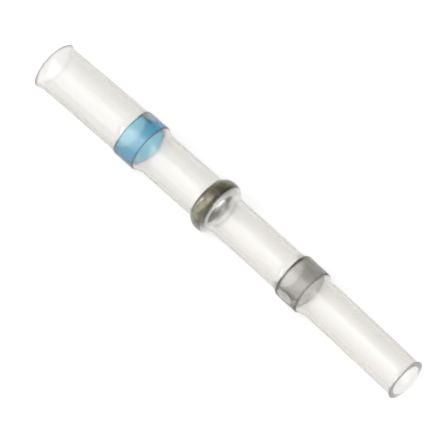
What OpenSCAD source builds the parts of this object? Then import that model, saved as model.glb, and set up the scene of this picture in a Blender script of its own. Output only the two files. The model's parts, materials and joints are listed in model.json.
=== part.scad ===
// Solder sleeve for splicing two wires. A clear heat-shrink tube has been drawn down
// over three rings: a blue sealing ring towards its wide end, a solder ring in the
// middle and a clear sealing ring towards its narrow end.
// It lies along X with the wide end at -X, and rests on z = 0 as it comes to lie: on the
// bulge over the solder ring and on the rim farther from it, the narrow one.

/* [Tube] */
// Bore at the wide end
wide_bore_d = 3.45; // [2.5:0.05:5]
// Bore between the blue ring and the solder ring
mid_wide_bore_d = 3.05; // [2.4:0.05:4]
// Bore between the solder ring and the clear ring
mid_narrow_bore_d = 2.7; // [2.2:0.05:3.6]
// Bore at the narrow end
narrow_bore_d = 2.6; // [2:0.05:3.4]
// Wall at the wide end, where the tube is least drawn down
tube_wall = 0.33; // [0.2:0.01:0.5]

/* [Distances along the tube] */
// From the wide rim to the middle of the blue ring
wide_rim_to_blue = 9.9; // [7:0.1:16]
// From the middle of the blue ring to the middle of the solder ring
blue_to_solder = 8.4; // [6:0.1:14]
// From the middle of the solder ring to the middle of the clear ring
solder_to_clear = 9.9; // [6:0.1:14]
// From the middle of the clear ring to the narrow rim
clear_to_narrow_rim = 11.8; // [7:0.1:18]

/* [Flared rims] */
// Length of the flare at the wide rim
wide_flare_len = 0.85; // [0.5:0.05:1.5]
// How far the bore opens in the wide flare, on the radius
wide_flare_rise = 0.165; // [0.05:0.005:0.3]
// Length of the flare at the narrow rim
narrow_flare_len = 0.55; // [0.4:0.05:1.5]
// How far the bore opens in the narrow flare, on the radius
narrow_flare_rise = 0.14; // [0.05:0.005:0.2]

/* [Blue seal ring] */
// How far the blue ring stands out past the wider bore beside it, on the radius
blue_ring_stand = 0.175; // [0.05:0.005:0.4]
// Thickness of the blue ring
blue_ring_t = 0.37; // [0.25:0.01:0.6]
// Length of the blue ring along the tube
blue_ring_len = 1.9; // [1:0.1:3]

/* [Solder ring] */
// How far the solder ring stands out past the wider bore beside it, on the radius
solder_ring_stand = 0.605; // [0.3:0.005:0.8]
// Thickness of the solder ring, from its bore to its crown
solder_ring_t = 0.83; // [0.5:0.01:1.1]
// Width of the solder ring along the tube
solder_ring_w = 1.5; // [1:0.05:2.5]
// Radius that rounds the outside of the solder ring
solder_crown_r = 0.7; // [0.2:0.05:1]
// Radius at the inner corners of the solder ring
solder_corner_r = 0.1; // [0.03:0.01:0.2]

/* [Clear seal ring] */
// How far the clear ring stands out past the wider bore beside it, on the radius
clear_ring_stand = 0.35; // [0.05:0.01:0.5]
// Thickness of the clear ring
clear_ring_t = 0.37; // [0.25:0.01:0.6]
// Length of the clear ring along the tube
clear_ring_len = 2; // [1:0.1:3]

/* [Drawing down] */
// Radius on the corners of both seal rings
seal_corner_r = 0.08; // [0.03:0.01:0.12]
// Room between each ring and the tube drawn down over it
ring_clearance = 0.01; // [0.01:0.005:0.04]
// Radius with which the tube's bore comes down to either side of the blue ring
blue_foot_r = 2.3; // [1:0.1:3]
// Radius with which the tube's bore comes down to either side of the solder ring
solder_foot_r = 0.8; // [0.6:0.05:1.6]
// Radius with which the tube's bore comes down to either side of the clear ring
clear_foot_r = 1.6; // [1:0.1:3]

/* [Resting places] */
// Depth of the small flats under the bulge and the rim, which keep the tube from rolling
rest_flat_depth = 0.02; // [0.01:0.005:0.05]

/* [Hidden] */

round_fn = 144;
arc_steps = 6;
// Smallest flat left between two rounded corners of a ring
least_flat = 0.02;

// Where each ring's middle and the narrow rim lie, counted from the wide rim
blue_x = wide_rim_to_blue;
solder_x = blue_x + blue_to_solder;
clear_x = solder_x + solder_to_clear;
tube_len = clear_x + clear_to_narrow_rim;

// Each ring as [its middle along the tube, outer radius, thickness, length, radius of
// its outer corners, radius of its inner corners]. It stands out past the wider of the
// two bores beside it, and its outer corners are only as round as its section allows.
function ring(x, bores_d, stand, t, ring_len, outer_corner_r, inner_corner_r) = [
    x, max(bores_d) / 2 + stand, t, ring_len,
    min(outer_corner_r, (ring_len - least_flat) / 2, t - inner_corner_r - least_flat),
    inner_corner_r
];
blue = ring(blue_x, [wide_bore_d, mid_wide_bore_d], blue_ring_stand,
    blue_ring_t, blue_ring_len, seal_corner_r, seal_corner_r);
solder = ring(solder_x, [mid_wide_bore_d, mid_narrow_bore_d], solder_ring_stand,
    solder_ring_t, solder_ring_w, solder_crown_r, solder_corner_r);
clear = ring(clear_x, [mid_narrow_bore_d, narrow_bore_d], clear_ring_stand,
    clear_ring_t, clear_ring_len, seal_corner_r, seal_corner_r);

// The tube is one extrusion, so its wall's section area stays the same wherever it is
// drawn down or stretched over a ring. This is that area divided by pi.
wall_section = pow(wide_bore_d / 2 + tube_wall, 2) - pow(wide_bore_d / 2, 2);
function wall_at(r) = sqrt(r * r + wall_section) - r;

// Stations run along the tube's bore as [place along the tube, radius, slope angle].
// These two set a run of stations at x, going away from x or coming back towards it.
function going(x, run) = [for (s = run) [x + s[0], s[1], s[2]]];
function coming(x, run) =
    [for (i = [len(run) - 1 : -1 : 0]) [x - run[i][0], run[i][1], -run[i][2]]];

// The bore climbs from a straight stretch onto a ring: first an arc of the foot's
// radius, then an arc round the ring's corner, both at the same slope where they meet.
// Places are counted from the edge of the ring's flat top.
function climb(bore_r, top_r, foot_r, corner_r) =
    let (
        steepest = acos(1 - (top_r - bore_r) / (foot_r + corner_r)),
        foot_x = -(foot_r + corner_r) * sin(steepest)
    )
    concat(
        [for (i = [0 : arc_steps]) let (a = steepest * i / arc_steps)
            [foot_x + foot_r * sin(a), bore_r + foot_r * (1 - cos(a)), a]],
        [for (i = [arc_steps - 1 : -1 : 0]) let (a = steepest * i / arc_steps)
            [-corner_r * sin(a), top_r - corner_r * (1 - cos(a)), a]]
    );

// The bore opens like a bell along the last stretch before a rim
function flare(bore_r, flare_len, rise) =
    let (bell_r = (pow(flare_len, 2) + pow(rise, 2)) / (2 * rise))
    [for (i = [0 : arc_steps]) let (a = asin(flare_len / bell_r) * i / arc_steps)
        [bell_r * sin(a), bore_r + bell_r * (1 - cos(a)), a]];

// Both slopes of the tube over one ring
function over(ring, foot_r, bore_before_d, bore_after_d) =
    let (
        top_r = ring[1] + ring_clearance,
        corner_r = ring[4] + ring_clearance,
        half_flat = ring[3] / 2 - ring[4]
    )
    concat(
        going(ring[0] - half_flat, climb(bore_before_d / 2, top_r, foot_r, corner_r)),
        coming(ring[0] + half_flat, climb(bore_after_d / 2, top_r, foot_r, corner_r))
    );

stations = concat(
    coming(wide_flare_len, flare(wide_bore_d / 2, wide_flare_len, wide_flare_rise)),
    over(blue, blue_foot_r, wide_bore_d, mid_wide_bore_d),
    over(solder, solder_foot_r, mid_wide_bore_d, mid_narrow_bore_d),
    over(clear, clear_foot_r, mid_narrow_bore_d, narrow_bore_d),
    going(tube_len - narrow_flare_len,
        flare(narrow_bore_d / 2, narrow_flare_len, narrow_flare_rise))
);

// Places on the tube's outside: square to the bore all along, and cut straight across
// the tube at both rims
function outside(s) = [s[0] - wall_at(s[1]) * sin(s[2]), s[1] + wall_at(s[1]) * cos(s[2])];
function cut_rim(s) = [s[0], s[1] + wall_at(s[1]) / cos(s[2])];
last = len(stations) - 1;
outside_line = concat(
    [cut_rim(stations[0])],
    [for (i = [1 : last - 1]) outside(stations[i])],
    [cut_rim(stations[last])]
);
bore_line = [for (s = stations) [s[0], s[1]]];

// The tube dips towards the rim farther from the solder ring, until that rim touches as
// well as the bulge. The dip is that of the steepest line from the bulge to the rim.
narrow_end_dips = solder_x < tube_len / 2;
low_rim = outside_line[narrow_end_dips ? last : 0];
descents = [for (p = outside_line) if (p[0] != low_rim[0])
    (p[1] - low_rim[1]) / (low_rim[0] - p[0])];
dip = atan(narrow_end_dips ? max(descents) : min(descents));

// Where the centre of the wide rim comes to lie, with the dipped tube centred on x = 0
// and cut flat by z = 0 at its two resting places
max_x = max([for (p = outside_line) p[0] * cos(dip) + p[1] * abs(sin(dip))]);
min_x = min([for (p = outside_line) p[0] * cos(dip) - p[1] * abs(sin(dip))]);
min_z = min([for (p = outside_line) -p[0] * sin(dip) - p[1] * cos(dip)]);
wide_rim_x = -(max_x + min_x) / 2;
wide_rim_z = -min_z - rest_flat_depth;

function quarter(x, r, corner_r, from) =
    [for (i = [0 : arc_steps]) let (a = from + 90 * i / arc_steps)
        [x + corner_r * cos(a), r + corner_r * sin(a)]];

// A ring's section as [place along the tube, radius]
function section_of(ring) =
    let (
        from = ring[0] - ring[3] / 2,
        to = ring[0] + ring[3] / 2,
        high = ring[1],
        low = high - ring[2],
        outer = ring[4],
        inner = ring[5]
    )
    concat(
        quarter(to - outer, high - outer, outer, 0),
        quarter(from + outer, high - outer, outer, 90),
        quarter(from + inner, low + inner, inner, 180),
        quarter(to - inner, low + inner, inner, 270)
    );

// Turns a section of [place along the tube, radius] round the tube's axis, and lays the
// result down as the tube rests
module turned(section) {
    translate([wide_rim_x, 0, wide_rim_z])
        rotate([0, 90 + dip, 0])
            rotate_extrude($fn = round_fn)
                polygon([for (p = section) [p[1], p[0]]]);
}

module shrink_sleeve() {
    color([0.9, 0.9, 0.88, 0.4])
        difference() {
            turned(concat(bore_line, [for (i = [last : -1 : 0]) outside_line[i]]));
            translate([0, 0, -tube_len]) cube(2 * tube_len, center = true);
        }
}

module blue_seal_ring() {
    color([0.29, 0.6, 0.76]) turned(section_of(blue));
}

module solder_ring() {
    color([0.5, 0.49, 0.45]) turned(section_of(solder));
}

module clear_seal_ring() {
    color([0.72, 0.72, 0.7]) turned(section_of(clear));
}

shrink_sleeve();
blue_seal_ring();
solder_ring();
clear_seal_ring();
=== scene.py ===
import json
import math

import bpy
from bpy.props import FloatProperty, FloatVectorProperty, IntProperty, PointerProperty
from bpy.types import NodeSocket, Operator, Panel, PropertyGroup
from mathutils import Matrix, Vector


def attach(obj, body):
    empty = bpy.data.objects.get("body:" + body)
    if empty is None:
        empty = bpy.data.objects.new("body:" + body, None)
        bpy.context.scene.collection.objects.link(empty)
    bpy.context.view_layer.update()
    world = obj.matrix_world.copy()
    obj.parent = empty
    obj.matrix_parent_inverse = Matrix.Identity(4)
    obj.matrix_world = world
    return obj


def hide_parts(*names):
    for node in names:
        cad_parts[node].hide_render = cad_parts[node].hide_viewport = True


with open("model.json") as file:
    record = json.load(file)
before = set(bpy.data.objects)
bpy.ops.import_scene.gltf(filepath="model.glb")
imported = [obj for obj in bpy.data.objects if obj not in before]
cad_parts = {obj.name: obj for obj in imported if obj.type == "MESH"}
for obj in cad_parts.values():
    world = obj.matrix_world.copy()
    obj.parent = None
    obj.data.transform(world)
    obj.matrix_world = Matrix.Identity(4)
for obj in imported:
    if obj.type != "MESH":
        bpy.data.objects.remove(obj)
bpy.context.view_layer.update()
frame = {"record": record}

bl_info = {
    "name": "Solder Sleeve",
    "version": (1, 0, 0),
    "blender": (4, 5, 0),
    "location": "View3D > Sidebar > Solder Sleeve",
    "description": "A clear heat-shrink tube drawn down over a solder ring and two seal rings",
    "category": "Object",
}

MM = 0.001
BODY = "root"
TURNING = "Turned Round The Tube"

# The CAD states a bore at the middle of each ring and one at each end. They give the
# tube's axis and the places along it, which are counted from the solder ring's middle.
BORES = {mount["name"]: mount for mount in frame["record"]["mounts"]}
MIDDLE = Vector(BORES["solder_ring_bore"]["pos_m"])
ALONG = Vector(BORES["narrow_end_wire_entry"]["axis"])
DIP = math.asin(-ALONG.z)


def place_along(bore):
    return (Vector(BORES[bore]["pos_m"]) - MIDDLE).dot(ALONG)


def bore_radius(bore):
    return BORES[bore]["dims"]["r_mm"] * MM


def linear(hex_colour):
    """An sRGB hex colour as the linear RGBA that Blender's sockets take."""
    parts = [int(hex_colour[i : i + 2], 16) / 255 for i in (1, 3, 5)]
    return (
        *(p / 12.92 if p <= 0.04045 else ((p + 0.055) / 1.055) ** 2.4 for p in parts),
        1.0,
    )


def length_setting(name, description, size_mm):
    return FloatProperty(
        name=name, description=description, default=size_mm * MM, min=0, unit="LENGTH"
    )


def colour_setting(name, description, hex_colour):
    return FloatVectorProperty(
        name=name,
        description=description,
        default=linear(hex_colour)[:3],
        size=3,
        min=0,
        max=1,
        subtype="COLOR",
    )


class TubeSizes(PropertyGroup):
    wide_bore: length_setting(
        "Wide Bore", "Radius of the bore at the wide end",
        bore_radius("wide_end_wire_entry") / MM,
    )
    mid_wide_bore: length_setting(
        "Mid Wide Bore", "Radius of the bore between the blue and the solder ring", 1.525
    )
    mid_narrow_bore: length_setting(
        "Mid Narrow Bore", "Radius of the bore between the solder and the clear ring", 1.35
    )
    narrow_bore: length_setting(
        "Narrow Bore", "Radius of the bore at the narrow end",
        bore_radius("narrow_end_wire_entry") / MM,
    )
    wall: length_setting("Wall", "Wall at the wide end, where the tube is drawn down least", 0.33)
    wide_flare: length_setting("Wide Flare", "Length of the flare at the wide rim", 0.85)
    wide_rise: length_setting("Wide Rise", "How far the bore opens in the wide flare", 0.165)
    narrow_flare: length_setting("Narrow Flare", "Length of the flare at the narrow rim", 0.55)
    narrow_rise: length_setting("Narrow Rise", "How far the bore opens in the narrow flare", 0.14)
    rim_round: length_setting("Rim Round", "Radius on the cut edges of both rims", 0.05)
    grip: length_setting("Grip", "How far the tube has shrunk into the skin of each ring", 0.01)
    blue_foot: length_setting("Blue Foot", "Radius of the bore's fall beside the blue ring", 2.3)
    solder_foot: length_setting("Solder Foot", "Radius of its fall beside the solder ring", 0.8)
    bulge_width: length_setting("Bulge Width", "Width of the bulge over the solder ring", 1.5)
    bulge_round: length_setting("Bulge Round", "Radius that rounds the bore in the bulge", 0.7)
    clear_foot: length_setting("Clear Foot", "Radius of its fall beside the clear ring", 1.6)
    bow: length_setting("Bow", "How far the tube's ends are bent sideways from its middle", 0.25)
    lean: length_setting("Rim Lean", "How far both flares lean to the side of the bow", 0.04)
    unevenness: length_setting("Unevenness", "How far the tube's skin strays from round", 0.012)
    segments: IntProperty(
        name="Segments", description="Faces round the tube", default=256, min=12, max=512
    )


class RingSizes(PropertyGroup):
    blue_radius: length_setting("Blue Radius", "Outer radius of the blue seal ring", 1.9)
    blue_length: length_setting("Blue Length", "Length of the blue seal ring", 1.9)
    clear_radius: length_setting("Clear Radius", "Outer radius of the clear seal ring", 1.7)
    clear_length: length_setting("Clear Length", "Length of the clear seal ring", 2.0)
    seal_corner: length_setting("Seal Corner", "Radius on the corners of both seal rings", 0.03)
    solder_radius: length_setting("Solder Radius", "Outer radius of the solder ring", 2.13)
    solder_width: length_setting("Solder Width", "Width of the solder ring", 1.3)
    solder_shift: length_setting("Solder Shift", "How far it has slid to the wide end", 0.1)
    solder_outside: length_setting("Solder Outside", "Radius on its outer corners", 0.45)
    solder_corner: length_setting("Solder Corner", "Radius on its inner corners", 0.1)


class Finishes(PropertyGroup):
    tube: colour_setting("Tube", "What one wall of the clear tube leaves of white", "#FCFBF9")
    blue: colour_setting("Blue Seal", "What one wall of the blue ring leaves of white", "#AADDEE")
    blue_skin: colour_setting("Blue Skin", "Surface of the blue hot-melt adhesive", "#F1F8FB")
    clear: colour_setting(
        "Clear Seal", "What one wall of the clear ring leaves of white", "#DADAD8"
    )
    clear_skin: colour_setting("Clear Skin", "Surface of the clear hot-melt adhesive", "#F6F5F3")
    solder: colour_setting("Solder", "Solder on the crown, under a film of flux", "#9A967B")
    # Besides the flux, this colour paints shade: the dark band at the film's end and the thin line
    # round the bore
    flux: colour_setting("Flux", "Solder at the edges, under thicker flux", "#2A2822")
    bare_solder: colour_setting(
        "Bare Solder", "Bright solder on the narrow side and in the bore", "#E0E0DE"
    )
    floor: colour_setting("Floor", "Pale studio floor", "#F4F4F4")


# Shapes


def add(tree, kind, inputs=None, **settings):
    """Adds a node. Settings are its own properties. Inputs are values, or sockets to link from."""
    node = tree.nodes.new(kind)
    for name, value in settings.items():
        setattr(node, name, value)
    for name, value in (inputs or {}).items():
        if isinstance(value, NodeSocket):
            tree.links.new(value, node.inputs[name])
        else:
            node.inputs[name].default_value = value
    return node


def worked(tree, operation, *values):
    """A number worked out from others."""
    inputs = dict(enumerate(values))
    return add(tree, "ShaderNodeMath", inputs, operation=operation).outputs[0]


# The attribute that holds each point's place along the tube, and its distance from the axis
SECTION_SPOT = "section_spot"
# A wave of the uneven skin is about 4 mm long and 0.6 radii wide
WAVES_ALONG = 160
WAVE_SCALE = 1.6
# How late the lean of a flare comes in
LEAN_POWER = 24
MERGE_DISTANCE = 1e-7
TURNING_INPUTS = (
    ("Section", "NodeSocketGeometry"),
    ("Segments", "NodeSocketInt"),
    ("Middle", "NodeSocketVector"),
    ("Dip", "NodeSocketFloat"),
    ("Centre", "NodeSocketFloat"),
    ("Half Length", "NodeSocketFloat"),
    ("Bow", "NodeSocketFloat"),
    ("Lean", "NodeSocketFloat"),
    ("Unevenness", "NodeSocketFloat"),
    ("Material", "NodeSocketMaterial"),
)


def turning_tree():
    """Geometry Nodes that turn a section of (along, 0, radius) round the tube's bowed axis."""
    tree = bpy.data.node_groups.new(TURNING, "GeometryNodeTree")
    for name, kind in TURNING_INPUTS:
        tree.interface.new_socket(name, in_out="INPUT", socket_type=kind)
    tree.interface.new_socket("Piece", in_out="OUTPUT", socket_type="NodeSocketGeometry")
    given = add(tree, "NodeGroupInput").outputs

    # A sheet with one column for each point of the section and one row for each segment
    points = add(
        tree, "GeometryNodeAttributeDomainSize", {"Geometry": given["Section"]}, component="MESH"
    ).outputs["Point Count"]
    sheet = add(
        tree,
        "GeometryNodeMeshGrid",
        {
            "Size X": points,
            "Size Y": given["Segments"],
            "Vertices X": worked(tree, "ADD", points, 1),
            "Vertices Y": worked(tree, "ADD", given["Segments"], 1),
        },
    ).outputs["Mesh"]
    position = add(tree, "GeometryNodeInputPosition").outputs[0]
    spot = add(tree, "ShaderNodeSeparateXYZ", {0: position}).outputs
    column = worked(tree, "ROUND", worked(tree, "MULTIPLY_ADD", points, 0.5, spot["X"]))
    row = worked(tree, "ROUND", worked(tree, "MULTIPLY_ADD", given["Segments"], 0.5, spot["Y"]))
    turn = worked(tree, "MULTIPLY", worked(tree, "DIVIDE", row, given["Segments"]), -math.tau)
    section_point = add(
        tree,
        "GeometryNodeSampleIndex",
        {
            "Geometry": given["Section"],
            "Value": position,
            "Index": worked(tree, "FLOORED_MODULO", column, points),
        },
        data_type="FLOAT_VECTOR",
        domain="POINT",
    ).outputs["Value"]
    section = add(tree, "ShaderNodeSeparateXYZ", {0: section_point}).outputs
    along, radius = section["X"], section["Z"]
    sideways, upwards = worked(tree, "SINE", turn), worked(tree, "COSINE", turn)

    # The skin strays a little from round, in soft waves
    wave_spot = add(
        tree,
        "ShaderNodeCombineXYZ",
        {0: worked(tree, "MULTIPLY", along, WAVES_ALONG), 1: sideways, 2: upwards},
    ).outputs[0]
    wave = add(
        tree, "ShaderNodeTexNoise", {"Vector": wave_spot, "Scale": WAVE_SCALE, "Detail": 1.0}
    ).outputs[0]
    stray = worked(tree, "MULTIPLY", worked(tree, "SUBTRACT", wave, 0.5), given["Unevenness"])
    skin_radius = worked(tree, "MULTIPLY_ADD", stray, 2, radius)

    # Shares of the way from the tube's centre to its rims: the bow grows with the square, less
    # the square's mean, and the lean comes in only at the flares
    share = worked(
        tree, "DIVIDE", worked(tree, "SUBTRACT", along, given["Centre"]), given["Half Length"]
    )
    bowed = worked(tree, "SUBTRACT", 1 / 3, worked(tree, "POWER", share, 2))
    leaned = worked(tree, "POWER", worked(tree, "ABSOLUTE", share), LEAN_POWER)
    shift = worked(
        tree,
        "SUBTRACT",
        worked(tree, "MULTIPLY", bowed, given["Bow"]),
        worked(tree, "MULTIPLY", leaned, given["Lean"]),
    )
    straight = add(
        tree,
        "ShaderNodeCombineXYZ",
        {
            0: along,
            1: worked(tree, "MULTIPLY_ADD", skin_radius, sideways, shift),
            2: worked(tree, "MULTIPLY", skin_radius, upwards),
        },
    ).outputs[0]
    dipped = add(
        tree,
        "ShaderNodeVectorRotate",
        {"Vector": straight, "Angle": given["Dip"]},
        rotation_type="Y_AXIS",
    ).outputs[0]
    laid = add(
        tree, "ShaderNodeVectorMath", {0: dipped, 1: given["Middle"]}, operation="ADD"
    ).outputs[0]
    laid_parts = add(tree, "ShaderNodeSeparateXYZ", {0: laid}).outputs
    on_floor = add(
        tree,
        "ShaderNodeCombineXYZ",
        {0: laid_parts["X"], 1: laid_parts["Y"], 2: worked(tree, "MAXIMUM", laid_parts["Z"], 0)},
    ).outputs[0]

    measured = add(
        tree,
        "GeometryNodeStoreNamedAttribute",
        {"Geometry": sheet, "Name": SECTION_SPOT, "Value": section_point},
        data_type="FLOAT_VECTOR",
        domain="POINT",
    ).outputs[0]
    skin = add(tree, "GeometryNodeSetPosition", {"Geometry": measured, "Position": on_floor})
    closed = add(
        tree,
        "GeometryNodeMergeByDistance",
        {"Geometry": skin.outputs[0], "Distance": MERGE_DISTANCE},
    )
    smooth = add(tree, "GeometryNodeSetShadeSmooth", {"Geometry": closed.outputs[0]})
    real = add(tree, "GeometryNodeRealizeInstances", {"Geometry": smooth.outputs[0]})
    finished = add(
        tree,
        "GeometryNodeSetMaterial",
        {"Geometry": real.outputs[0], "Material": given["Material"]},
    )
    add(tree, "NodeGroupOutput", {0: finished.outputs[0]})
    return tree


def turned_piece(name, section, material, node):
    """Turns a closed section round the tube's axis, and puts the piece in its CAD node's place."""
    sizes = bpy.context.scene.sleeve_tube
    count = len(section)
    outline = bpy.data.meshes.new(name)
    outline.from_pydata(
        [(x, 0, r) for x, r in section], [(i, (i + 1) % count) for i in range(count)], []
    )
    piece = bpy.data.objects.new(name, outline)
    bpy.context.scene.collection.objects.link(piece)
    turning = piece.modifiers.new("Turned", "NODES")
    turning.node_group = bpy.data.node_groups.get(TURNING) or turning_tree()
    values = {
        "Segments": sizes.segments,
        "Middle": MIDDLE,
        "Dip": DIP,
        "Centre": (RIMS[0] + RIMS[1]) / 2,
        "Half Length": (RIMS[1] - RIMS[0]) / 2,
        "Bow": sizes.bow,
        "Lean": sizes.lean,
        "Unevenness": sizes.unevenness,
        "Material": material,
    }
    for item in turning.node_group.interface.items_tree:
        if item.name in values:
            turning[item.identifier] = values[item.name]
    graph = bpy.context.evaluated_depsgraph_get()
    piece.data = bpy.data.meshes.new_from_object(piece.evaluated_get(graph))
    piece.data.name = name
    piece.modifiers.clear()
    bpy.data.meshes.remove(outline)
    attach(piece, BODY)
    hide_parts(node)
    return piece


# Places of the rims along the tube, from the solder ring's middle
RIMS = (-18.3 * MM, 21.7 * MM)
# How finely the sections are drawn
ARC_STEPS = 8
RIM_STEPS = 4
LONGEST_STEP = 0.8 * MM


def wall_at(r, sizes):
    """The tube's wall where its bore has radius r, with the wall's section area kept."""
    section = (sizes.wide_bore + sizes.wall) ** 2 - sizes.wide_bore**2
    return math.sqrt(r * r + section) - r


def going(x, run):
    """Stations moved along to x."""
    return [(x + s[0], s[1], s[2]) for s in run]


def coming(x, run):
    """Stations mirrored to end at x, so that a climb becomes a fall."""
    return [(x - s[0], s[1], -s[2]) for s in reversed(run)]


def climb(bore, top, foot, corner):
    """Stations (along, radius, slope) from a straight bore up onto a ring's flat top."""
    steepest = math.acos(1 - (top - bore) / (foot + corner))
    foot_x = -(foot + corner) * math.sin(steepest)
    angles = [steepest * i / ARC_STEPS for i in range(ARC_STEPS + 1)]
    up = [(foot_x + foot * math.sin(a), bore + foot * (1 - math.cos(a)), a) for a in angles]
    over = [(-corner * math.sin(a), top - corner * (1 - math.cos(a)), a) for a in angles]
    return up + over[-2::-1]


def flare(bore, length, rise):
    """Stations of a bore that opens like a bell."""
    bell = (length**2 + rise**2) / (2 * rise)
    angles = [math.asin(length / bell) * i / ARC_STEPS for i in range(ARC_STEPS + 1)]
    return [(bell * math.sin(a), bore + bell * (1 - math.cos(a)), a) for a in angles]


def filled(line):
    """The line with points added along its long straights, so that it shades and bends evenly."""
    out = [line[0]]
    for a, b in zip(line, line[1:]):
        count = max(1, math.ceil(math.dist(a, b) / LONGEST_STEP))
        out += [
            (a[0] + (b[0] - a[0]) * i / count, a[1] + (b[1] - a[1]) * i / count)
            for i in range(1, count + 1)
        ]
    return out


def rounded(before, corner, after, radius, steps=RIM_STEPS):
    """The points of an arc that rounds a corner between two neighbouring points."""
    corner, before, after = Vector(corner), Vector(before), Vector(after)
    to_before, to_after = (before - corner).normalized(), (after - corner).normalized()
    half = to_before.angle(to_after) / 2
    reach = radius / math.tan(half)
    start, end = corner + to_before * reach, corner + to_after * reach
    centre = corner + (to_before + to_after).normalized() * (radius / math.sin(half))
    spokes = [(start - centre).lerp(end - centre, i / steps) for i in range(steps + 1)]
    return [tuple(centre + s.normalized() * radius) for s in spokes]


def over_ring(x, length, ring_radius, corner, foot, before, after, sizes):
    """Stations of both slopes of the tube over one ring."""
    top, round_top = ring_radius - sizes.grip, corner - sizes.grip
    half_flat = length / 2 - corner
    return going(x - half_flat, climb(before, top, foot, round_top)) + coming(
        x + half_flat, climb(after, top, foot, round_top)
    )


def tube_section(sizes, rings):
    """The tube's closed section: along its bore, and back along its outside."""
    low, high = RIMS
    stations = (
        coming(low + sizes.wide_flare, flare(sizes.wide_bore, sizes.wide_flare, sizes.wide_rise))
        + over_ring(
            place_along("blue_ring_bore"), rings.blue_length, rings.blue_radius,
            rings.seal_corner, sizes.blue_foot, sizes.wide_bore, sizes.mid_wide_bore, sizes,
        )
        + over_ring(
            0, sizes.bulge_width, rings.solder_radius, sizes.bulge_round,
            sizes.solder_foot, sizes.mid_wide_bore, sizes.mid_narrow_bore, sizes,
        )
        + over_ring(
            place_along("clear_ring_bore"), rings.clear_length, rings.clear_radius,
            rings.seal_corner, sizes.clear_foot, sizes.mid_narrow_bore, sizes.narrow_bore, sizes,
        )
        + going(
            high - sizes.narrow_flare,
            flare(sizes.narrow_bore, sizes.narrow_flare, sizes.narrow_rise),
        )
    )
    bore = [(x, r) for x, r, _ in stations]
    outside = [
        (x - wall_at(r, sizes) * math.sin(a), r + wall_at(r, sizes) * math.cos(a))
        for x, r, a in stations
    ]
    for end in (0, -1):
        x, r, a = stations[end]
        outside[end] = (x, r + wall_at(r, sizes) / math.cos(a))
    radius = sizes.rim_round
    return (
        filled(
            rounded(outside[0], bore[0], bore[1], radius)
            + bore[1:-1]
            + rounded(bore[-2], bore[-1], outside[-1], radius)
        )
        + filled(
            rounded(bore[-1], outside[-1], outside[-2], radius)
            + outside[-2:0:-1]
            + rounded(outside[1], outside[0], bore[0], radius)
        )
    )


def ring_section(x, length, outer, inner, outer_corner, inner_corner):
    """A ring's closed section, with its corners rounded."""
    low, high = x - length / 2, x + length / 2
    corners = [(low, inner), (high, inner), (high, outer), (low, outer)]
    radii = [inner_corner, inner_corner, outer_corner, outer_corner]
    line = []
    for i, (corner, radius) in enumerate(zip(corners, radii)):
        line += rounded(corners[i - 1], corner, corners[(i + 1) % 4], radius, ARC_STEPS)
    return filled(line + line[:1])[:-1]


# Finishes


def new_material(name):
    material = bpy.data.materials.new(name)
    material.use_nodes = True
    material.node_tree.nodes.clear()
    return material, material.node_tree


def object_spot(tree, scale=(1, 1, 1)):
    """Object coordinates, scaled: 1000 is one pattern unit for each millimetre."""
    spot = add(tree, "ShaderNodeTexCoord").outputs["Object"]
    return add(tree, "ShaderNodeMapping", {"Vector": spot, "Scale": scale}).outputs[0]


# Absorption strong enough for the darkest tint that a see-through piece may have
DENSITY = 6000
DARKEST_TINT = 0.02


def absorption(tree, tint, wall):
    """Takes from white light what turns it to the tint over one wall, and more on a longer way."""
    kept = [1 + math.log(max(part, DARKEST_TINT)) / (wall * DENSITY) for part in tint]
    colour = (*(max(part, 0) for part in kept), 1)
    inputs = {"Color": colour, "Density": DENSITY}
    return add(tree, "ShaderNodeVolumeAbsorption", inputs).outputs[0]


def section_spot(tree):
    """The place along the tube, from the solder ring's middle, and the distance from its axis."""
    spot = add(tree, "ShaderNodeAttribute", attribute_name=SECTION_SPOT).outputs["Vector"]
    parts = add(tree, "ShaderNodeSeparateXYZ", {0: spot}).outputs
    return parts["X"], parts["Z"]


def between(tree, value, low, high, at_low=0.0, at_high=1.0):
    """A number that goes from one value to another while value goes from low to high."""
    inputs = {"Value": value, "From Min": low, "From Max": high}
    inputs.update({"To Min": at_low, "To Max": at_high})
    return add(tree, "ShaderNodeMapRange", inputs).outputs[0]


def blended(tree, share, first, second):
    """A mix of two colours."""
    inputs = {"Factor": share, "A": first, "B": second}
    return add(tree, "ShaderNodeMix", inputs, data_type="RGBA").outputs["Result"]


# How far in from each rim the frosting of the cut starts, and where it is full
FROST_FROM, FROST_FULL = 0.25 * MM, 0.02 * MM


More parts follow.
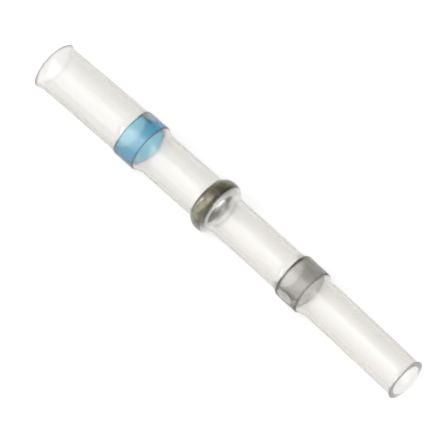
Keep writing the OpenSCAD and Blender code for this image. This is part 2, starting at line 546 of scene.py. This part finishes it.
def polyolefin(tint, wall):
    """Cross-linked polyolefin, extruded clear and shrunk with heat: glossy, faintly hazy, with
    fine draw lines along it, and greyer towards its edges, where more of it is looked through."""
    material, tree = new_material("Clear cross-linked polyolefin")
    # Draw lines are about 0.5 mm apart round the tube and run 20 mm along it
    lines = add(
        tree,
        "ShaderNodeTexNoise",
        {"Vector": object_spot(tree, (50, 2000, 2000)), "Scale": 1.0, "Detail": 1.0},
    ).outputs[0]
    bump = add(
        tree, "ShaderNodeBump", {"Strength": 0.3, "Distance": 0.001 * MM, "Height": lines}
    ).outputs[0]
    # Both ends were cut with a blade, which left them frosted
    along, _ = section_spot(tree)
    from_centre = worked(tree, "ABSOLUTE", worked(tree, "SUBTRACT", along, sum(RIMS) / 2))
    half_length = (RIMS[1] - RIMS[0]) / 2
    frosted = between(tree, from_centre, half_length - FROST_FROM, half_length - FROST_FULL)
    surface = add(
        tree,
        "ShaderNodeBsdfPrincipled",
        {
            "Base Color": (1, 1, 1, 1),
            "Roughness": between(tree, frosted, 0, 1, 0.2, 0.45),
            "IOR": 1.5,
            "Transmission Weight": between(tree, frosted, 0, 1, 1.0, 0.8),
            "Coat Weight": 0.3,
            "Coat Roughness": 0.07,
            "Normal": bump,
        },
    )
    inside = absorption(tree, tint, wall)
    add(tree, "ShaderNodeOutputMaterial", {"Surface": surface.outputs[0], "Volume": inside})
    return material


# A pocket of air between each seal ring and the tube, whose reflection is painted as a pale patch
# on the ring's skin: how far it lies from the ring's middle, along the tube, how far round from
# the top, towards the side that faces the camera, and how pale it is
POCKETS = {
    "blue": (-0.65 * MM, math.radians(-42), 0.7),
    "clear": (-0.2 * MM, math.radians(88), 0.9),
}
# It is longer than wide, and between these distances from its middle it fades out unevenly
POCKET_SQUEEZE = (0.6, 1, 1)
POCKET_EDGE = (0.5 * MM, 0.7 * MM)
POCKET_WAVER = 0.3 * MM


def air_pocket_painted_reflection(tree, colour, radius, clouds):
    """How pale the painted reflection of the pocket of air makes each place of a seal ring, with
    an edge like the clouds.
    """
    along, turn, pale = POCKETS[colour]
    outwards = Vector((0, -math.sin(turn), math.cos(turn)))
    middle = MIDDLE + ALONG * (place_along(f"{colour}_ring_bore") + along) + outwards * radius
    squeezed = Vector(part * squeeze for part, squeeze in zip(middle, POCKET_SQUEEZE))
    away = add(
        tree,
        "ShaderNodeVectorMath",
        {0: object_spot(tree, POCKET_SQUEEZE), 1: squeezed},
        operation="DISTANCE",
    ).outputs["Value"]
    uneven = worked(tree, "MULTIPLY_ADD", clouds, POCKET_WAVER, away)
    return between(tree, uneven, *POCKET_EDGE, pale, 0.0)


def hot_melt(colour, tint, skin, radius):
    """Polyamide hot-melt adhesive, moulded as a ring: translucent, with a satin skin, cloudy
    inside, and with a pocket of air between it and the tube, whose reflection is painted as a pale
    patch. The tint is what one wall of the ring leaves of white light, so a longer way through it
    looks darker."""
    material, tree = new_material(f"{colour.title()} hot-melt adhesive")
    # Clouds are about 1.1 mm across
    clouds = add(
        tree,
        "ShaderNodeTexNoise",
        {"Vector": object_spot(tree, (900, 900, 900)), "Scale": 1.0, "Detail": 3.0},
    ).outputs[0]
    bump = add(
        tree, "ShaderNodeBump", {"Strength": 0.1, "Distance": 0.03 * MM, "Height": clouds}
    ).outputs[0]
    # The pale patch is painted reflection: less light goes through the ring there, and its skin
    # shows instead
    painted_pocket_paleness = air_pocket_painted_reflection(tree, colour, radius, clouds)
    surface = add(
        tree,
        "ShaderNodeBsdfPrincipled",
        {
            "Base Color": (*skin, 1),
            "Roughness": 0.06,
            "IOR": 1.4,
            "Transmission Weight": worked(tree, "SUBTRACT", 1.0, painted_pocket_paleness),
            "Normal": bump,
        },
    )
    inside = absorption(tree, tint, radius - bore_radius(f"{colour}_ring_bore"))
    add(tree, "ShaderNodeOutputMaterial", {"Surface": surface.outputs[0], "Volume": inside})
    return material


# Where the film of flux ends along the crown, from the solder ring's middle: on the side facing
# the camera and on the other side, and how much farther it reaches on both than at the top
FILM_END = (0.66 * MM, 0.28 * MM)
FILM_RISE = 0.25 * MM
# Ways past that end between which a dark band of painted shade at the film's edge comes and goes,
# and the metal gets bare
EDGE_SHADE_DARKENS = (-0.4 * MM, -0.05 * MM)
EDGE_SHADE_FADES = (0.05 * MM, 0.25 * MM)
METAL_BARES = (0.02 * MM, 0.4 * MM)
# How patchy the film is, and what of red, green and blue its darker patches leave
PATCH_EDGE = (0.42, 0.58)
DARK_PATCH = (0.64, 0.57, 0.5)
# Distances from the bore between which a thin line of painted shade round it, in the colour of the
# flux, comes and goes
BORE_SHADE_COMES = (0.01 * MM, 0.04 * MM)
BORE_SHADE_GOES = (0.09 * MM, 0.13 * MM)
BORE_SHADE_STRENGTH = 0.8


def solder_metal(crown, flux, bare):
    """Tin-based solder, formed to a ring: a soft grey metal that is bright on its narrow side and
    in its bore, and dulled elsewhere by a film of flux that ran down to one side. Shade is painted
    on it in the colour of the flux: a dark band at the film's end, and a thin dark line round the
    edge of the bore."""
    material, tree = new_material("Solder with flux")
    along, from_axis = section_spot(tree)
    crown_radius = bpy.context.scene.sleeve_rings.solder_radius
    sideways = add(tree, "ShaderNodeSeparateXYZ", {0: object_spot(tree)}).outputs["Y"]
    # The way past the film's end goes along the crown and on over the flank
    aside = worked(tree, "DIVIDE", sideways, crown_radius)
    film_end = worked(
        tree,
        "MULTIPLY_ADD",
        worked(tree, "POWER", aside, 4),
        FILM_RISE,
        between(tree, aside, -1, 1, *FILM_END),
    )
    down = worked(tree, "SUBTRACT", crown_radius, from_axis)
    past = worked(tree, "ADD", worked(tree, "SUBTRACT", along, film_end), down)
    # Patches of flux are about 0.6 mm across. The metal's grain is finer in truth, and is drawn
    # 0.4 mm wide to show.
    patches = add(
        tree,
        "ShaderNodeTexNoise",
        {"Vector": object_spot(tree, (1700, 1700, 1700)), "Scale": 1.0, "Detail": 3.0},
    ).outputs[0]
    grain = add(
        tree,
        "ShaderNodeTexNoise",
        {"Vector": object_spot(tree, (2500, 2500, 2500)), "Scale": 1.0, "Detail": 4.0},
    ).outputs[0]
    crown_colour = blended(
        tree,
        between(tree, patches, *PATCH_EDGE),
        (*crown, 1),
        (*(part * kept for part, kept in zip(crown, DARK_PATCH)), 1),
    )
    # The dark band at the film's end is painted shade, in the colour of the flux
    edge = worked(
        tree,
        "MULTIPLY",
        between(tree, past, *EDGE_SHADE_DARKENS),
        between(tree, past, *EDGE_SHADE_FADES, 1.0, 0.0),
    )
    fluxed_and_shaded = blended(tree, edge, crown_colour, (*flux, 1))
    clean = between(tree, past, *METAL_BARES)
    # A thin line of painted shade darkens the corner round the edge of the bore, in the colour of
    # the flux
    above_bore = worked(tree, "SUBTRACT", from_axis, bore_radius("solder_ring_bore"))
    line = worked(
        tree,
        "MULTIPLY",
        between(tree, above_bore, *BORE_SHADE_COMES, 0.0, BORE_SHADE_STRENGTH),
        between(tree, above_bore, *BORE_SHADE_GOES, 1.0, 0.0),
    )
    cleaned = blended(tree, clean, fluxed_and_shaded, (*bare, 1))
    bump = add(
        tree, "ShaderNodeBump", {"Strength": 0.6, "Distance": 0.15 * MM, "Height": grain}
    ).outputs[0]
    surface = add(
        tree,
        "ShaderNodeBsdfPrincipled",
        {
            "Base Color": blended(tree, line, cleaned, (*flux, 1)),
            # Less metal in the painted shade, so that it stays dark
            "Metallic": between(tree, edge, 0.0, 1.0, 1.0, 0.6),
            "Roughness": between(tree, clean, 0.0, 1.0, 0.4, 0.3),
            "Coat Weight": 0.6,
            "Coat Roughness": 0.1,
            "Normal": bump,
        },
    )
    add(tree, "ShaderNodeOutputMaterial", {"Surface": surface.outputs[0]})
    return material


def floor_paper(colour):
    """White studio paper: matt, and lifted to white where the camera sees it, by itself or
    mirrored in the part. It keeps the part's shadow, but is even where it is seen through the
    clear tube."""
    material, tree = new_material("White studio paper")
    paper = add(tree, "ShaderNodeBsdfDiffuse", {"Color": (*colour, 1)})
    rays = add(tree, "ShaderNodeLightPath").outputs
    by_itself = worked(tree, "MULTIPLY", rays["Is Camera Ray"], FLOOR_GLOW)
    strength = worked(tree, "MULTIPLY_ADD", rays["Is Glossy Ray"], FLOOR_GLOW_MIRRORED, by_itself)
    glow = add(tree, "ShaderNodeEmission", {"Strength": strength})
    lit = add(tree, "ShaderNodeAddShader", {0: paper.outputs[0], 1: glow.outputs[0]})
    even = add(tree, "ShaderNodeEmission", {"Strength": FLOOR_THROUGH})
    seen = add(
        tree,
        "ShaderNodeMixShader",
        {0: rays["Is Transmission Ray"], 1: lit.outputs[0], 2: even.outputs[0]},
    )
    add(tree, "ShaderNodeOutputMaterial", {"Surface": seen.outputs[0]})
    return material


# The stage

# The frame's side, where in it the tube's middle lies, and the scale there
PHOTO_SIDE = 444
TUBE_MIDDLE_PIXEL = (229.9, 219.9)
MM_PER_PIXEL = 0.0797
CAMERA_TURN = math.radians(45.57)
CAMERA_RISE = math.radians(59.40)
CAMERA_AWAY = 0.6
CAMERA_CLIP = (0.05, 10)
SENSOR_MM = 36
FLOOR_SIDE = 4.0
FLOOR_DROP = 0.02 * MM
# How much light the floor adds to its paint's for the camera and for mirrored rays, and how
# bright it is through the tube
FLOOR_GLOW = 0.5
FLOOR_GLOW_MIRRORED = 0.4
FLOOR_THROUGH = 1.0
# The room's light from above and from its walls, and the heights between which they meet
ROOM_LEVEL = 0.3
WALL_LEVEL = 0.8
WALLS_UP_TO = (0.1, 0.4)
# Softboxes: the direction they stand in, how far away, their sides and how bright they look
SOFTBOXES = {
    "key_softbox": ((-0.324, -0.608, 0.725), 0.45, (0.3, 0.8), 1.0),
    "key_softbox_middle": ((-0.324, -0.608, 0.725), 0.44, (0.14, 0.8), 1.0),
    "wide_end_softbox": ((-0.845, -0.42, 0.24), 0.5, (0.05, 0.36), 12.0),
    "narrow_end_softbox": ((0.96, 0.02, 0.28), 0.5, (0.4, 0.07), 16.0),
}


def direction_back(turn, rise):
    """The way from the part to the camera."""
    return Vector(
        (math.sin(turn) * math.cos(rise), -math.cos(turn) * math.cos(rise), math.sin(rise))
    )


def aimed(name, data, place, back):
    """A light or the camera, which looks the other way from back."""
    thing = bpy.data.objects.new(name, data)
    thing.location = place
    thing.rotation_mode = "QUATERNION"
    thing.rotation_quaternion = (-back).to_track_quat("-Z", "Y")
    bpy.context.scene.collection.objects.link(thing)
    return thing


class SLEEVE_OT_tube(Operator):
    """Makes the clear heat-shrink tube, drawn down over its three rings"""

    bl_idname = "solder_sleeve.tube"
    bl_label = "Shrink Tube"

    def execute(self, context):
        scene = context.scene
        section = tube_section(scene.sleeve_tube, scene.sleeve_rings)
        material = polyolefin(scene.sleeve_finishes.tube, scene.sleeve_tube.wall)
        turned_piece("shrink_tube", section, material, "shrink_sleeve")
        return {"FINISHED"}


class SLEEVE_OT_seal_rings(Operator):
    """Makes the blue and the clear hot-melt seal ring"""

    bl_idname = "solder_sleeve.seal_rings"
    bl_label = "Seal Rings"

    def execute(self, context):
        rings, finishes = context.scene.sleeve_rings, context.scene.sleeve_finishes
        for colour, tint, skin, length, radius in (
            ("blue", finishes.blue, finishes.blue_skin, rings.blue_length, rings.blue_radius),
            ("clear", finishes.clear, finishes.clear_skin, rings.clear_length, rings.clear_radius),
        ):
            bore = f"{colour}_ring_bore"
            section = ring_section(
                place_along(bore), length, radius, bore_radius(bore),
                rings.seal_corner, rings.seal_corner,
            )
            material = hot_melt(colour, tint, skin, radius)
            turned_piece(
                f"{colour}_ring", section, material, f"{colour}_seal_ring"
            )
        return {"FINISHED"}


class SLEEVE_OT_solder_ring(Operator):
    """Makes the solder ring in the middle"""

    bl_idname = "solder_sleeve.solder_ring"
    bl_label = "Solder Ring"

    def execute(self, context):
        rings, finishes = context.scene.sleeve_rings, context.scene.sleeve_finishes
        section = ring_section(
            -rings.solder_shift, rings.solder_width, rings.solder_radius,
            bore_radius("solder_ring_bore"), rings.solder_outside, rings.solder_corner,
        )
        material = solder_metal(finishes.solder, finishes.flux, finishes.bare_solder)
        turned_piece("solder_band", section, material, "solder_ring")
        return {"FINISHED"}


class SLEEVE_OT_stage(Operator):
    """Makes the floor, the lights, the white room and the camera"""

    bl_idname = "solder_sleeve.stage"
    bl_label = "Studio Stage"

    def execute(self, context):
        scene = context.scene
        scene.view_settings.view_transform = "Standard"

        half = FLOOR_SIDE / 2
        paper = bpy.data.meshes.new("studio_floor")
        paper.from_pydata(
            [(x * half, y * half, -FLOOR_DROP) for x, y in ((-1, -1), (1, -1), (1, 1), (-1, 1))],
            [],
            [(0, 1, 2, 3)],
        )
        paper.materials.append(floor_paper(scene.sleeve_finishes.floor))
        floor = bpy.data.objects.new("studio_floor", paper)
        scene.collection.objects.link(floor)

        # The room is a plain soft light, and shows white where the camera sees past the floor
        room = bpy.data.worlds.new("Studio room")
        room.use_nodes = True
        tree = room.node_tree
        tree.nodes.clear()
        # Its walls are white up to a height and dimmer above
        towards = add(tree, "ShaderNodeTexCoord").outputs["Generated"]
        height = add(tree, "ShaderNodeSeparateXYZ", {0: towards}).outputs["Z"]
        walls = between(tree, height, *WALLS_UP_TO, WALL_LEVEL, ROOM_LEVEL)
        camera_ray = add(tree, "ShaderNodeLightPath").outputs["Is Camera Ray"]
        level = worked(tree, "MAXIMUM", camera_ray, walls)
        light = add(tree, "ShaderNodeBackground", {"Color": (1, 1, 1, 1), "Strength": level})
        add(tree, "ShaderNodeOutputWorld", {"Surface": light.outputs[0]})
        scene.world = room

        for name, (direction, away, sides, radiance) in SOFTBOXES.items():
            box = bpy.data.lights.new(name, "AREA")
            box.shape = "RECTANGLE"
            box.size, box.size_y = sides
            box.energy = radiance * math.pi * sides[0] * sides[1]
            back = Vector(direction).normalized()
            aimed(name, box, back * away, back)

        camera = bpy.data.cameras.new("photo_camera")
        camera.sensor_width = SENSOR_MM
        camera.lens = camera.sensor_width * CAMERA_AWAY / (PHOTO_SIDE * MM_PER_PIXEL * MM)
        camera.clip_start, camera.clip_end = CAMERA_CLIP
        back = direction_back(CAMERA_TURN, CAMERA_RISE)
        right = Vector((math.cos(CAMERA_TURN), math.sin(CAMERA_TURN), 0))
        up = back.cross(right)
        tube_middle = MIDDLE + ALONG * (RIMS[0] + RIMS[1]) / 2
        off_right = (TUBE_MIDDLE_PIXEL[0] - PHOTO_SIDE / 2) * MM_PER_PIXEL * MM
        off_up = (PHOTO_SIDE / 2 - TUBE_MIDDLE_PIXEL[1]) * MM_PER_PIXEL * MM
        aim = tube_middle - right * off_right - up * off_up
        scene.camera = aimed("photo_camera", camera, aim + back * CAMERA_AWAY, back)
        return {"FINISHED"}


class SLEEVE_PT_panel(Panel):
    bl_label = "Solder Sleeve"
    bl_space_type = "VIEW_3D"
    bl_region_type = "UI"
    bl_category = "Solder Sleeve"

    def draw(self, context):
        layout = self.layout
        for settings in (
            context.scene.sleeve_tube,
            context.scene.sleeve_rings,
            context.scene.sleeve_finishes,
        ):
            box = layout.box()
            for name in settings.__annotations__:
                box.prop(settings, name)
        for operator in OPERATORS:
            layout.operator(operator.bl_idname)


OPERATORS = (SLEEVE_OT_tube, SLEEVE_OT_seal_rings, SLEEVE_OT_solder_ring, SLEEVE_OT_stage)
CLASSES = (TubeSizes, RingSizes, Finishes, *OPERATORS, SLEEVE_PT_panel)


def register():
    for cls in CLASSES:
        bpy.utils.register_class(cls)
    bpy.types.Scene.sleeve_tube = PointerProperty(type=TubeSizes)
    bpy.types.Scene.sleeve_rings = PointerProperty(type=RingSizes)
    bpy.types.Scene.sleeve_finishes = PointerProperty(type=Finishes)


def unregister():
    del bpy.types.Scene.sleeve_finishes
    del bpy.types.Scene.sleeve_rings
    del bpy.types.Scene.sleeve_tube
    for cls in reversed(CLASSES):
        bpy.utils.unregister_class(cls)


def main():
    register()
    bpy.ops.solder_sleeve.stage()
    bpy.ops.solder_sleeve.tube()
    bpy.ops.solder_sleeve.seal_rings()
    bpy.ops.solder_sleeve.solder_ring()


if __name__ == "__main__":
    main()
